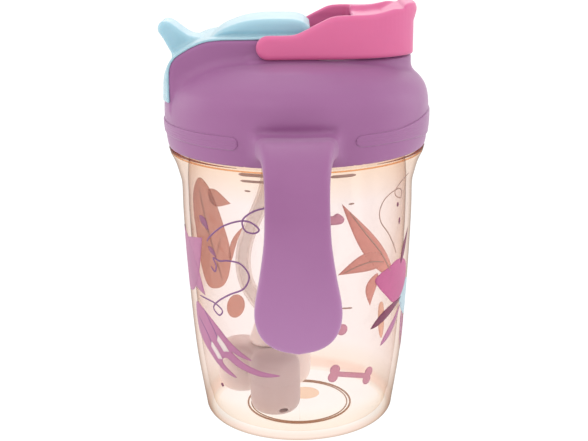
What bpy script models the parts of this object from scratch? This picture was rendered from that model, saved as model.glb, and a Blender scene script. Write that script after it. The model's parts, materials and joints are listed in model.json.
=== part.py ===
"""Weighted-straw sippy cup, 300 ml class: tinted tumbler, screw lid with two handles, folding silicone
spout under a flip cover, and a hanging straw with a three-lobed weight. Metres, +Z up, origin at the centre
of the base. The handles stand at -Y and +Y, the flip cover opens from +X towards -X."""

import math

import bmesh
import bpy

MM = 0.001
ROUND = 56  # sides of the large turned pieces
SMALL_ROUND = 20  # sides of the small turned pieces
CLEAR = 0.3  # gap between neighbouring pieces, mm

# Tumbler, mm
FLOOR = 2.4
BASE_R = 28.6
WALL = 1.9
LEDGE_Z = 91.6
NECK_R = 37.2
NECK_BORE_R = 34.9
RIM_Z = 105.0
CUP_OUTSIDE = [
    (31.9, 4.0), (33.0, 11.0), (34.3, 20.0), (35.2, 29.0), (36.0, 40.0), (36.9, 55.0), (37.5, 70.0),
]
CUP_SHOULDER = [(37.8, 79.5), (38.7, 83.3), (39.9, 87.4), (40.9, 90.4), (40.6, LEDGE_Z)]

# Screw thread, mm
LEAD = 9.0
THREAD_Z = 96.4
THREAD_TURN = 300.0
THREAD_R = 39.2
LUG_R = 38.3
LUG_DROP = 2.3
LUG_ARC = 36.0
LUG_STARTS = (20.0, 120.0, 220.0)

# Lid, mm
LID_BORE_R = 40.2
LID_RIM_Z = 92.4
LID_OUTSIDE = [
    (41.3, LID_RIM_Z), (41.9, 94.2), (42.5, 97.5), (42.8, 101.0), (42.75, 104.5), (42.3, 108.0),
    (41.2, 111.2), (39.3, 113.8), (36.8, 115.8), (33.0, 118.0), (30.0, 119.2), (24.0, 120.2), (16.0, 120.8),
]
LID_INSIDE = [(24.0, 117.9), (32.0, 116.0), (37.0, 112.5), (39.5, 109.3), (LID_BORE_R, 106.5)]
DOME_TOP = 121.1
SPINE_HALF = 17.5
SPINE_TOP = 127.3
SPINE_PLAN_R = 42.6
SPINE_REAR = [
    (-41.5, 107.6), (-41.1, 112.9), (-40.4, 116.2), (-39.1, 119.0), (-37.5, 121.4), (-35.8, 122.9),
    (-31.8, 125.2), (-27.4, 126.8), (-22.5, SPINE_TOP),
]
DECK_Z = 122.5
DECK_X = 4.8
DECK_END = 33.4
SLOT = (6.0, 98.4, 103.0)  # handle tongue: half width, bottom and top

# Flip cover, mm
PIVOT_X = -8.4
PIVOT_Z = 125.0
COVER_HALF = 20.8
COVER_WALL = 2.6
COVER_BOTTOM = 121.3
COVER_CEILING = 131.3
WINDOW_X = 17.8
PIN_R = 1.6

# Spout, mm
SPOUT_X = 8.2
SPOUT_Z = 126.2
SPOUT_R = 3.3
SPOUT_TIP = 31.5
SPOUT_BORE = 1.7
NOSE_X = 4.4
BASE_HALF = 16.9
PLATEAU_HALF = 13.0

# Straw, valve and weight, mm
STRAW_X = -13.0
STRAW_TOP = 104.0
STRAW_R = 2.55
STRAW_BORE = 1.75
VALVE_X = 16.0
STRAW_PATH = [
    (-13.0, STRAW_TOP), (-12.9, 101.0), (-11.3, 94.0), (-10.2, 85.0), (-10.9, 76.5), (-12.9, 70.0),
    (-15.6, 63.5), (-17.6, 57.5), (-18.3, 51.0), (-17.2, 44.5), (-14.4, 39.2), (-11.7, 35.4),
    (-10.5, 31.2), (-10.5, 25.7),
]
WEIGHT_X = -10.5
WEIGHT_Y = -2.5
WEIGHT_BOTTOM = 5.8
WEIGHT_TOP = 23.6
WEIGHT_SPLIT = 14.5
LOBE_R = 8.2
LOBE_AT = 9.2
LOBE_TURNS = (-75.0, 45.0, 165.0)
CORE_R = 6.4
SLUG_R = 5.2
POCKET_SKIN = 2.0  # thickness of the shell above and below a slug

LILAC = (0.38, 0.16, 0.32, 1.0)
PINK = (0.69, 0.17, 0.32, 1.0)
TEAL = (0.38, 0.64, 0.73, 1.0)
PEACH = (0.95, 0.80, 0.70, 1.0)
MILK = (0.80, 0.70, 0.66, 1.0)
FROST = (0.55, 0.43, 0.41, 1.0)
STEEL = (0.55, 0.55, 0.56, 1.0)


def clear_scene():
    for obj in list(bpy.data.objects):
        bpy.data.objects.remove(obj, do_unlink=True)


def material(name, colour, roughness, metallic=0.0):
    made = bpy.data.materials.new(name)
    made.use_nodes = True
    shader = made.node_tree.nodes["Principled BSDF"]
    shader.inputs["Base Color"].default_value = colour
    shader.inputs["Roughness"].default_value = roughness
    shader.inputs["Metallic"].default_value = metallic
    return made


# ---- shape helpers; every argument is in millimetres ----


def build(name, points, faces, finish=None):
    """A mesh object from points in mm, smooth but for its sharp edges; a hidden helper without a finish."""
    work = bmesh.new()
    corners = [work.verts.new([value * MM for value in point]) for point in points]
    for face in faces:
        work.faces.new([corners[index] for index in face])
    bmesh.ops.recalc_face_normals(work, faces=work.faces)
    mesh = bpy.data.meshes.new(name)
    work.to_mesh(mesh)
    work.free()
    mesh.shade_smooth()
    mesh.set_sharp_from_angle(angle=math.radians(35))
    made = bpy.data.objects.new(name, mesh)
    bpy.context.scene.collection.objects.link(made)
    if finish is None:
        made.hide_render = True
        made.display_type = "WIRE"
    else:
        mesh.materials.append(finish)
    return made


def loft(name, rings, finish=None, closed=False):
    """Skins equal rings of points; closed joins the last ring to the first, or both ends are capped."""
    size = len(rings[0])
    points = [point for ring in rings for point in ring]
    faces = []
    for row in range(len(rings) if closed else len(rings) - 1):
        after = (row + 1) % len(rings)
        for col in range(size):
            beside = (col + 1) % size
            lower = (row * size + col, row * size + beside)
            upper = (after * size + beside, after * size + col)
            faces.append(lower + upper)
    if not closed:
        faces.append(tuple(range(size)))
        faces.append(tuple(range((len(rings) - 1) * size, len(rings) * size)))
    return build(name, points, faces, finish)


def turned(name, profile, sides, finish=None, centre=(0.0, 0.0), along="Z"):
    """A profile of (radius, height) turned about an axis; a radius of 0 at both ends closes it there."""
    points = []
    rows = []
    for radius, height in profile:
        if radius == 0:
            rows.append([len(points)] * sides)
            points.append(oriented(0, 0, height, centre, along))
            continue
        rows.append(list(range(len(points), len(points) + sides)))
        for step in range(sides):
            turn = 2 * math.pi * step / sides
            points.append(oriented(radius * math.cos(turn), radius * math.sin(turn), height, centre, along))
    if profile[0][0] != 0:
        rows.append(rows[0])
    faces = []
    for lower, upper in zip(rows, rows[1:]):
        for step in range(sides):
            beside = (step + 1) % sides
            face = [lower[step], lower[beside], upper[beside], upper[step]]
            faces.append(list(dict.fromkeys(face)))
    return build(name, points, faces, finish)


def oriented(a, b, height, centre, along):
    """A turned point on an axis along Z at (x, y), along X at (y, z), or along Y at (x, z)."""
    if along == "X":
        return (height, centre[0] + a, centre[1] + b)
    if along == "Y":
        return (centre[0] + a, height, centre[1] + b)
    return (centre[0] + a, centre[1] + b, height)


def rod(name, radius, start, end, centre, along="Z", finish=None, sides=SMALL_ROUND):
    return turned(name, [(0, start), (radius, start), (radius, end), (0, end)], sides, finish, centre, along)


def slab(name, outline, half_width, finish=None):
    """An XZ outline extruded along Y to both sides."""
    rings = [[(x, y, z) for x, z in outline] for y in (-half_width, half_width)]
    return loft(name, rings, finish)


def plate(name, outline, bottom, top, finish=None):
    """An XY outline extruded along Z."""
    return loft(name, [[(x, y, z) for x, y in outline] for z in (bottom, top)], finish)


def box(name, low, high, finish=None):
    outline = [(low[0], low[1]), (high[0], low[1]), (high[0], high[1]), (low[0], high[1])]
    return plate(name, outline, low[2], high[2], finish)


def arc(centre, radius, start, end, steps):
    """Points on an arc, angles in degrees."""
    turns = [math.radians(start + (end - start) * step / steps) for step in range(steps + 1)]
    return [(centre[0] + radius * math.cos(turn), centre[1] + radius * math.sin(turn)) for turn in turns]


def combine(target, other, operation):
    modifier = target.modifiers.new(other.name, "BOOLEAN")
    modifier.operation = operation
    modifier.object = other
    return target


def cut(target, *others):
    for other in others:
        combine(target, other, "DIFFERENCE")


def join(target, *others):
    for other in others:
        combine(target, other, "UNION")


def use_manifold(obj, prefix):
    """Changes the solver of the Booleans whose names start so, where the exact one leaves open edges."""
    for modifier in obj.modifiers:
        if modifier.name.startswith(prefix):
            modifier.solver = "MANIFOLD"


def pivot_at(obj, x, y, z):
    """Moves the object's origin to a joint's axis, leaving its shape where it is."""
    point = (x * MM, y * MM, z * MM)
    for vertex in obj.data.vertices:
        vertex.co = [vertex.co[axis] - point[axis] for axis in range(3)]
    obj.location = point


def helix(name, root_r, tip_r, start, sweep, base_z):
    """A trapezoid thread on the lid's screw line: start and sweep in degrees, base_z at angle 0."""
    steps = max(4, round(sweep / 9))
    rings = []
    for step in range(steps + 1):
        angle = start + sweep * step / steps
        turn = math.radians(angle)
        middle = base_z + LEAD * angle / 360
        section = [(root_r, -1.0), (tip_r, -0.45), (tip_r, 0.45), (root_r, 1.0)]
        rings.append([(r * math.cos(turn), r * math.sin(turn), middle + dz) for r, dz in section])
    return loft(name, rings)


# ---- the tumbler ----


def make_cup(finish):
    outside = arc((BASE_R, 3.2), 3.2, -90, -20, 3) + CUP_OUTSIDE + CUP_SHOULDER
    outside += [(NECK_R, LEDGE_Z), (NECK_R, RIM_Z - 0.4), (NECK_R - 0.4, RIM_Z)]
    inside = [(NECK_BORE_R + 0.3, RIM_Z), (NECK_BORE_R, RIM_Z - 0.4), (NECK_BORE_R, 90.5), (35.7, 84.0)]
    inside += [(radius - WALL, height) for radius, height in reversed(CUP_OUTSIDE[1:])]
    inside += arc((27.0, FLOOR + 2.6), 2.6, 0, -90, 3)
    profile = [(0, 0.0), (17.6, 0.0), (18.0, 0.7), (19.6, 0.7), (20.0, 0.0)] + outside + inside + [(0, FLOOR)]
    cup = turned("cup_body", profile, ROUND, finish)
    join(cup, helix("cup_thread", NECK_R - 0.7, THREAD_R, 0, THREAD_TURN, THREAD_Z))
    return cup


def make_gasket(finish):
    low = RIM_Z + CLEAR
    high = low + 1.2
    profile = [(34.6, low), (36.9, low), (37.1, low + 0.3), (37.1, high), (34.9, high), (34.6, high - 0.3)]
    return turned("lid_gasket", profile, ROUND, finish)


# ---- the lid ----


def cover_plan(inset):
    """Half a plan of the flip cover from its rear end round to the nose, mirrored into a closed outline."""
    half = COVER_HALF - inset
    nose = 38.6 - inset
    start = 8.0
    turns = [math.radians(90 * step / 8) for step in range(9)]
    side = [(start + (nose - start) * math.sin(turn) ** 0.9, half * math.cos(turn) ** 0.9) for turn in turns]
    side[-1] = (nose, 0.0)
    rear = -14.0
    return [(rear, half)] + side + [(x, -y) for x, y in reversed(side[:-1])] + [(rear, -half)]


def make_lid_shell(finish):
    profile = [(0, LID_RIM_Z)] + LID_OUTSIDE + [(0, DOME_TOP)]
    shell = turned("lid_shell", profile, ROUND, finish)
    spine = box("spine_block", (-50.0, -SPINE_HALF, 104.0), (DECK_X + 2.0, SPINE_HALF, 135.0))
    combine(spine, rod("spine_plan", SPINE_PLAN_R, 100, 140, (0, 0), sides=ROUND), "INTERSECT")
    pedestal = plate("cover_pedestal", cover_plan(2.0), 110.0, 120.8)
    deck = plate("spout_deck", cover_plan(3.2), 110.0, DECK_Z - 0.2)
    cut(deck, box("deck_end", (DECK_END, -30.0, 100.0), (60.0, 30.0, 140.0)))
    join(shell, spine, pedestal, deck)
    inside = [(0, LID_RIM_Z - 1.0), (LID_BORE_R, LID_RIM_Z - 1.0)] + LID_INSIDE[::-1] + [(0, 118.4)]
    above = SPINE_REAR + [(DECK_X, SPINE_TOP), (DECK_X, DECK_Z), (60.0, DECK_Z), (60.0, 150.0)]
    above += [(-60.0, 150.0), (-60.0, SPINE_REAR[0][1])]
    cut(shell, turned("lid_hollow", inside, ROUND), slab("above_spine", above, 30.0))
    use_manifold(shell, "above_spine")
    for number, start in enumerate(LUG_STARTS):
        base = THREAD_Z - LUG_DROP
        join(shell, helix(f"lid_lug_{number}", LID_BORE_R + 0.6, LUG_R, start, LUG_ARC, base))
    half, bottom, top = SLOT
    for side in (-1, 1):
        near, far = sorted((side * 36.0, side * 46.0))
        low = (-half - CLEAR, near, bottom - CLEAR)
        high = (half + CLEAR, far, top + CLEAR)
        cut(shell, box(f"handle_slot_{side}", low, high))
        near, far = sorted((side * 11.5, side * 18.0))
        cut(shell, rod(f"pin_hole_{side}", PIN_R + CLEAR, near, far, (PIVOT_X, PIVOT_Z), "Y"))
    cut(shell, rod("stem_hole", 6.3, 110, 140, (STRAW_X, 0)))
    cut(shell, box("nose_notch", (0.0, -5.3, 123.9), (DECK_X + 1.0, 5.3, 140.0)))
    return shell


def make_liner(finish):
    low, high, edge = 106.8, 108.4, 38.8
    lip = high + 0.8
    profile = [(0, low), (edge, low), (edge, lip), (edge - 1.6, lip), (edge - 1.8, high), (0, high)]
    liner = turned("lid_liner", profile, ROUND, finish)
    cut(liner, rod("connector_hole", 3.9, 100, 112, (STRAW_X, 0)))
    cut(liner, rod("valve_hole", 2.1, 100, 112, (VALVE_X, 0)))
    return liner


def make_handle(name, side, finish):
    """A paddle that leaves the lid's collar, turns down and hangs free.

    Its path is (y outwards, z, half width, lean in degrees)."""
    path = [(40.0, 101.2, 12.4, 0), (47.0, 101.2, 11.4, 0), (53.5, 100.3, 10.4, 18), (58.6, 96.9, 9.5, 48)]
    path += [(61.2, 91.5, 9.1, 74), (62.0, 85.0, 9.1, 88), (62.0, 76.0, 9.5, 91), (61.6, 66.0, 10.9, 93)]
    path += [(60.9, 57.5, 12.4, 96), (60.2, 52.5, 12.3, 98), (59.5, 48.5, 11.0, 100), (58.9, 45.6, 8.6, 101)]
    path += [(58.5, 43.7, 5.2, 102), (58.3, 42.9, 2.4, 102)]
    rings = []
    for out, height, half, lean in path:
        lean = math.radians(lean)
        thick = 3.3 if half > 6 else 3.3 * (half / 6) ** 0.5
        ring = []
        for step in range(16):
            turn = 2 * math.pi * step / 16
            across = half * math.copysign(abs(math.cos(turn)) ** 0.55, math.cos(turn))
            up = thick * math.copysign(abs(math.sin(turn)) ** 0.7, math.sin(turn))
            ring.append((across, side * (out + up * math.sin(lean)), height + up * math.cos(lean)))
        rings.append(ring)
    handle = loft(name, rings, finish)
    cut(handle, rod(name + "_collar", 43.1, 80, 120, (0, 0), sides=ROUND * 2))
    half, bottom, top = SLOT
    near, far = sorted((side * 40.7, side * 45.5))
    join(handle, box(name + "_tongue", (-half, near, bottom), (half, far, top)))
    return handle


# ---- flip cover ----


def make_cover(finish):
    side = arc((PIVOT_X, PIVOT_Z), 3.7, 270, 90, 8)
    side += [(-0.5, 128.75), (2.8, 130.2), (12.4, 134.4), (22.8, 134.6), (27.4, 135.3), (32.7, 136.8)]
    side += [(35.4, 137.3), (37.4, 136.9), (38.4, 135.1), (37.7, 133.2), (36.7, 131.6), (36.8, 121.9)]
    side += [(36.2, COVER_BOTTOM)]
    cover = slab("flip_cover", side, COVER_HALF + 2, finish)
    combine(cover, plate("cover_outline", cover_plan(0.0), 100, 150), "INTERSECT")
    hollow = plate("cover_hollow", cover_plan(COVER_WALL), 100, COVER_CEILING)
    gap = COVER_HALF - COVER_WALL
    window = box("cover_window", (-30.0, -gap, 100.0), (WINDOW_X, gap, 150.0))
    dish_outline = [(16.0, 133.1), (22.0, 132.8), (27.5, 133.3), (33.0, 136.0), (33.0, 145.0), (16.0, 145.0)]
    dish = slab("cover_dish", dish_outline, 13.6)
    front = box("cover_front_limit", (34.2, -30.0, 90.0), (60.0, 30.0, 140.0))
    cut(hollow, front)
    cut(cover, hollow, window, dish)
    for way in (-1, 1):
        near, far = sorted((way * 17.0, way * 20.1))
        cut(cover, rod(f"arm_hole_{way}", PIN_R + CLEAR, near, far, (PIVOT_X, PIVOT_Z), "Y"))
    pivot_at(cover, PIVOT_X, 0, PIVOT_Z)
    return cover


def make_seal_pad(finish):
    low, high = SPOUT_Z + SPOUT_R + CLEAR, COVER_CEILING - CLEAR
    outline = [(x, 4.4 - abs(x - 23.5) * 0.2) for x in (20.2, 22.0, 25.0, 26.8)]
    outline += [(x, -y) for x, y in reversed(outline)]
    pad = plate("cover_seal_pad", outline, low, high, finish)
    pivot_at(pad, PIVOT_X, 0, PIVOT_Z)
    return pad


def make_hinge_pin(name, side, finish):
    near, far = sorted((side * 12.0, side * 19.8))
    return rod(name, PIN_R, near, far, (PIVOT_X, PIVOT_Z), "Y", finish, 16)


# ---- silicone spout ----


def make_spout_base(finish):
    """A band over the lid's spine, a pull tab behind it, a raised pad in front, and a stem to the straw."""
    under = [(x - CLEAR * 0.8, z + CLEAR * 0.8) for x, z in SPINE_REAR] + [(NOSE_X, SPINE_TOP + CLEAR)]
    over = [(x - 0.95, z + 0.95) for x, z in SPINE_REAR[1:]] + [(NOSE_X, SPINE_TOP + 1.3)]
    outline = under + over[::-1] + [(SPINE_REAR[0][0] - 1.1, SPINE_REAR[0][1] + 0.6)]
    base = slab("spout_base", outline, BASE_HALF, finish)
    combine(base, rod("band_plan", 42.75, 100, 140, (0, 0), sides=ROUND), "INTERSECT")
    pad = [(-25.0, 128.2), (-22.0, 130.3), (-18.0, 131.8), (-14.0, 132.7), (-8.0, 133.1), (-0.6, 132.9)]
    pad += [(2.2, 132.0), (NOSE_X, 130.0), (NOSE_X, 127.9)]
    tab = arc((-40.9, 130.3), 2.5, 200, 60, 6) + [(-31.0, 127.6), (-33.0, 125.8), (-38.2, 122.2)]
    join(base, slab("spout_pad", pad, PLATEAU_HALF), slab("pull_tab", tab, 7.0))
    join(base, box("spout_nose", (0.3, -5.0, 124.2), (NOSE_X, 5.0, 129.0)))
    join(base, rod("spout_stem", 5.9, 111.5, 128.4, (STRAW_X, 0)))
    cut(base, rod("stem_socket", 3.9, 110.0, 118.0, (STRAW_X, 0)))
    cut(base, rod("riser_bore", 1.8, 117.0, 130.6, (STRAW_X, 0), sides=12))
    cut(base, rod("cross_bore", 1.7, STRAW_X - 0.8, 2.6, (0, 129.6), "X", sides=12))
    cut(base, rod("drop_bore", 1.5, SPOUT_Z - 0.9, 130.0, (1.9, 0), sides=12))
    cut(base, rod("mouth_bore", 1.6, 1.2, 8.0, (0, SPOUT_Z), "X", sides=12))
    for bore in ("riser", "cross", "drop", "mouth"):
        use_manifold(base, bore)
    return base


def make_spout(finish):
    """A tube with a ball root, lying under the cover; the bore runs right through."""
    first = math.asin(SPOUT_BORE / SPOUT_R)
    turns = [first + (math.pi / 2 - first) * step / 4 for step in range(5)]
    root = [(SPOUT_R * math.sin(turn), SPOUT_X - SPOUT_R * math.cos(turn)) for turn in turns]
    tip = [(SPOUT_R, 25.0), (SPOUT_R + 0.15, 28.5), (SPOUT_R - 0.1, 30.6), (SPOUT_R - 0.9, SPOUT_TIP)]
    profile = root + tip + [(SPOUT_BORE, SPOUT_TIP)]
    spout = turned("drinking_spout", profile, SMALL_ROUND, finish, (0, SPOUT_Z), "X")
    pivot_at(spout, SPOUT_X, 0, SPOUT_Z)
    return spout


# ---- straw, weight and valve ----


def make_connector(finish):
    """The barb that carries the straw, through the liner into the spout's stem."""
    profile = [(0.8, 102.6), (1.2, 102.6), (1.3, 104.9), (6.4, 104.9), (6.4, 106.5), (3.6, 106.5)]
    profile += [(3.6, 116.5), (3.2, 117.2), (1.8, 117.2), (1.8, 106.0), (0.8, 104.6)]
    return turned("straw_connector", profile, SMALL_ROUND, finish, (STRAW_X, 0))


def make_valve(finish):
    profile = [(0, 105.0), (4.1, 105.1), (4.2, 105.9), (3.0, 106.4), (1.8, 106.5), (1.8, 108.7)]
    profile += [(2.9, 109.0), (2.4, 110.4), (0, 111.0)]
    return turned("vent_valve", profile, SMALL_ROUND, finish, (VALVE_X, 0))


def spline(points, steps):
    """A smooth curve through the points."""
    ends = [points[0]] + list(points) + [points[-1]]
    curve = []
    for a, b, c, d in zip(ends, ends[1:], ends[2:], ends[3:]):
        for step in range(steps):
            t = step / steps
            point = []
            for p, q, r, s in zip(a, b, c, d):
                square = (2 * p - 5 * q + 4 * r - s) * t**2
                cube = (3 * q - p - 3 * r + s) * t**3
                point.append((2 * q + (r - p) * t + square + cube) / 2)
            curve.append(tuple(point))
    return curve + [points[-1]]


def make_straw(finish):
    """A hollow tube from the connector, bowed as silicone tube is, down into the weight's collar."""
    line = []
    for x, z in spline(STRAW_PATH, 2):
        drop = (STRAW_TOP - z) / (STRAW_TOP - WEIGHT_TOP - 8.0)
        line.append((x, WEIGHT_Y * min(1.0, max(0.0, drop)), z))
    sections = []
    for index, (x, y, z) in enumerate(line):
        before = line[max(index - 1, 0)]
        after = line[min(index + 1, len(line) - 1)]
        lean = math.atan2(after[0] - before[0], before[2] - after[2])
        sections.append((x, y, z, lean))
    rings = []
    for radius, order in ((STRAW_R, sections), (STRAW_BORE, sections[::-1])):
        for x, y, z, lean in order:
            ring = []
            for side in range(14):
                turn = 2 * math.pi * side / 14
                out = radius * math.cos(turn)
                across = y + radius * math.sin(turn)
                ring.append((x + out * math.cos(lean), across, z + out * math.sin(lean)))
            rings.append(ring)
    straw = loft("straw_tube", rings, finish, closed=True)
    pivot_at(straw, STRAW_X, 0, STRAW_TOP)
    return straw


def make_collar(finish):
    low = WEIGHT_TOP + CLEAR
    profile = [(1.9, low), (5.6, low), (6.0, low + 1.0), (5.2, low + 3.2), (4.2, low + 7.0), (3.1, low + 7.4)]
    profile += [(3.0, low + 1.2), (1.9, low + 1.2)]
    collar = turned("weight_collar", profile, SMALL_ROUND, finish, (WEIGHT_X, WEIGHT_Y))
    pivot_at(collar, STRAW_X, 0, STRAW_TOP)
    return collar


def lobe_centres():
    turns = [math.radians(degrees) for degrees in LOBE_TURNS]
    return [(WEIGHT_X + LOBE_AT * math.cos(turn), WEIGHT_Y + LOBE_AT * math.sin(turn)) for turn in turns]


def clover(inset, height):
    """The weight's three-lobed outline at a height, drawn in by inset: a round core with lobes beyond it."""
    ring = []
    third = 2 * math.pi / 3
    for step in range(48):
        turn = 2 * math.pi * step / 48
        off = (turn - math.radians(LOBE_TURNS[1]) + third / 2) % third - third / 2
        lobe = LOBE_R - inset
        reach = CORE_R - inset * 0.5
        aside = LOBE_AT * math.sin(off)
        if lobe > abs(aside):
            reach = max(reach, LOBE_AT * math.cos(off) + math.sqrt(lobe**2 - aside**2))
        ring.append((WEIGHT_X + reach * math.cos(turn), WEIGHT_Y + reach * math.sin(turn), height))
    return ring


def make_weight_shell(name, section, pocket, finish):
    """Lofted from (inset, height), with a pocket for a slug in each lobe and the channel in the core."""
    shell = loft(name, [clover(inset, height) for inset, height in section], finish)
    for number, centre in enumerate(lobe_centres()):
        cut(shell, rod(f"{name}_pocket_{number}", SLUG_R + CLEAR, *pocket, centre))
    cut(shell, rod(name + "_channel", 1.6, 0.0, 30.0, (WEIGHT_X, WEIGHT_Y), sides=12))
    use_manifold(shell, name)
    return shell


def make_lower_shell(finish):
    section = [(2.6, WEIGHT_BOTTOM), (1.4, WEIGHT_BOTTOM + 0.7), (0.5, WEIGHT_BOTTOM + 2.1)]
    section += [(0.0, WEIGHT_BOTTOM + 4.2), (0.0, WEIGHT_SPLIT - CLEAR / 2)]
    shell = make_weight_shell("weight_shell_lower", section, (WEIGHT_BOTTOM + POCKET_SKIN, 20.0), finish)
    front = lobe_centres()[0]
    inlet_at = (front[0] + 2.0, front[1] - 2.5)
    cut(shell, rod("weight_inlet", 1.3, WEIGHT_BOTTOM - 2, WEIGHT_BOTTOM + 1.4, inlet_at, sides=12))
    pivot_at(shell, STRAW_X, 0, STRAW_TOP)
    return shell


def make_upper_shell(finish):
    section = [(0.0, WEIGHT_SPLIT + CLEAR / 2), (0.4, WEIGHT_TOP - 2.6), (1.2, WEIGHT_TOP - 1.0)]
    section += [(2.6, WEIGHT_TOP)]
    shell = make_weight_shell("weight_shell_upper", section, (0.0, WEIGHT_TOP - POCKET_SKIN), finish)
    pivot_at(shell, STRAW_X, 0, STRAW_TOP)
    return shell


def make_slug(number, centre, finish):
    low, high = WEIGHT_BOTTOM + POCKET_SKIN + CLEAR, WEIGHT_TOP - POCKET_SKIN - CLEAR
    profile = [(0, low), (SLUG_R - 0.5, low), (SLUG_R, low + 0.5), (SLUG_R, high - 0.5)]
    profile += [(SLUG_R - 0.5, high), (0, high)]
    slug = turned(f"weight_slug_{number}", profile, SMALL_ROUND, finish, centre)
    pivot_at(slug, STRAW_X, 0, STRAW_TOP)
    return slug


def main():
    clear_scene()
    lilac = material("lilac_plastic", LILAC, 0.42)
    pink = material("pink_plastic", PINK, 0.38)
    teal = material("teal_silicone", TEAL, 0.55)
    peach = material("peach_clear_plastic", PEACH, 0.08)
    milk = material("milky_silicone", MILK, 0.5)
    frost = material("frosted_plastic", FROST, 0.45)
    steel = material("steel", STEEL, 0.3, 1.0)
    make_cup(peach)
    make_gasket(milk)
    make_lid_shell(lilac)
    make_liner(lilac)
    make_handle("handle_front", -1, lilac)
    make_handle("handle_back", 1, lilac)
    make_cover(pink)
    make_seal_pad(milk)
    make_hinge_pin("hinge_pin_front", -1, steel)
    make_hinge_pin("hinge_pin_back", 1, steel)
    make_spout_base(teal)
    make_spout(teal)
    make_connector(frost)
    make_valve(milk)
    make_straw(milk)
    make_collar(milk)
    make_lower_shell(frost)
    make_upper_shell(frost)
    for number, centre in enumerate(lobe_centres(), 1):
        make_slug(number, centre, steel)


main()
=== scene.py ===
"""Looks of the weighted-straw sippy cup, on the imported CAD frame. The makers' lengths are millimetres."""
import json
import math

import bmesh
import bpy
import numpy as np
from mathutils import Matrix, Vector, geometry


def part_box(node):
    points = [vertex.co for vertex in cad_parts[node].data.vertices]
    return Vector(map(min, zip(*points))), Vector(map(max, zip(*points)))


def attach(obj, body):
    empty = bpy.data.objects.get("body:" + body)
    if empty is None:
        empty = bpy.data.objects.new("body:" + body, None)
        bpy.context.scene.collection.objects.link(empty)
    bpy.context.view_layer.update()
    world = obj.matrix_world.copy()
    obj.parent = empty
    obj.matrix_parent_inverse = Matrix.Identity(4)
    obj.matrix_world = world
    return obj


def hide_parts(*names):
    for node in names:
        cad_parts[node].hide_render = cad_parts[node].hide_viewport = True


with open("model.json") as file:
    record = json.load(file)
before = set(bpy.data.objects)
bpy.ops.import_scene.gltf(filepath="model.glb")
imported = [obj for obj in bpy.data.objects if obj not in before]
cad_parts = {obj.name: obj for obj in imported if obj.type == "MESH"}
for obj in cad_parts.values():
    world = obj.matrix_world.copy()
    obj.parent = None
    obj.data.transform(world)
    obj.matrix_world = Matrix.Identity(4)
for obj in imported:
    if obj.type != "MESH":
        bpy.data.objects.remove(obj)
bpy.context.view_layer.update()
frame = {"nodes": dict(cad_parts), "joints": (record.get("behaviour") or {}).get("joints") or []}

MM = 0.001
WHITE = (1, 1, 1, 1)


# ---- places read from the frame, in millimetres ----


def hinge(name):
    """A joint's place at rest."""
    place = next(joint for joint in frame["joints"] if joint["name"] == name)["pos_m"]
    return [round(c / MM, 3) for c in place]


def box_of(node):
    """A CAD node's lowest and highest corners."""
    return [[round(c / MM, 3) for c in corner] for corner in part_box(node)]


COVER_HINGE_X, _, COVER_HINGE_Z = hinge("cover_flip")
MOUTH_X, _, MOUTH_Z = hinge("spout_rise")
STEM_X, _, STRAW_TOP = hinge("straw_swing")
CUP_TOP = box_of("cup_body")[1][2]
LID_FOOT, SPINE_TOP = [corner[2] for corner in box_of("lid_shell")]
COVER_HALF = box_of("flip_cover")[1][1]
COLLAR_LOW, COLLAR_HIGH = box_of("weight_collar")
WEIGHT_X, WEIGHT_Y = [(COLLAR_LOW[k] + COLLAR_HIGH[k]) / 2 for k in (0, 1)]


# ---- outlines and distance fields ----


def spline(points, steps):
    """A smooth curve through the points, which may have any number of coordinates."""
    ends = [points[0]] + list(points) + [points[-1]]
    curve = []
    for a, b, c, d in zip(ends, ends[1:], ends[2:], ends[3:]):
        for step in range(steps):
            t = step / steps
            curve.append(tuple(
                0.5 * (2 * q + (r - p) * t + (2 * p - 5 * q + 4 * r - s) * t**2
                       + (3 * q - p - 3 * r + s) * t**3)
                for p, q, r, s in zip(a, b, c, d)
            ))
    return curve + [tuple(points[-1])]


def arc(centre, radius, start, end, steps):
    """Points round a circle from one angle to another, in degrees."""
    turns = [math.radians(start + (end - start) * step / steps) for step in range(steps + 1)]
    return [(centre[0] + radius * math.cos(turn), centre[1] + radius * math.sin(turn)) for turn in turns]


def outline_distance(u, v, outline):
    """Signed distance to a closed outline, negative inside."""
    u, v = np.broadcast_arrays(u, v)
    best = np.full(u.shape, 1e9)
    inside = np.zeros(u.shape, bool)
    for (ax, ay), (bx, by) in zip(outline, list(outline[1:]) + [outline[0]]):
        ex, ey = bx - ax, by - ay
        length = ex * ex + ey * ey
        if length < 1e-12:
            continue
        t = np.clip(((u - ax) * ex + (v - ay) * ey) / length, 0, 1)
        best = np.minimum(best, (u - ax - ex * t) ** 2 + (v - ay - ey * t) ** 2)
        if ey:
            inside ^= ((ay > v) != (by > v)) & (u < ex * (v - ay) / ey + ax)
    return np.where(inside, -1, 1) * np.sqrt(best)


class Flat:
    """The signed distance to an outline, worked out once on a grid and read between its points."""

    def __init__(self, outline, pitch=0.2, margin=9.0):
        corners = np.array(outline)
        self.low = corners.min(0) - margin
        high = corners.max(0) + margin
        axes = [np.arange(self.low[k], high[k], pitch) for k in (0, 1)]
        self.pitch = pitch
        self.table = self.fill(axes[0][:, None], axes[1][None, :], outline)

    def fill(self, u, v, outline):
        return outline_distance(u, v, outline)

    def __call__(self, u, v):
        return self.read(self.table, u, v)

    def read(self, table, u, v):
        u, v = np.broadcast_arrays(u, v)
        rows, cols = table.shape
        a = np.clip((u - self.low[0]) / self.pitch, 0, rows - 1.001)
        b = np.clip((v - self.low[1]) / self.pitch, 0, cols - 1.001)
        i, j = a.astype(int), b.astype(int)
        a, b = a - i, b - j
        left = table[i, j] * (1 - b) + table[i, j + 1] * b
        right = table[i + 1, j] * (1 - b) + table[i + 1, j + 1] * b
        return left * (1 - a) + right * a


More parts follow.
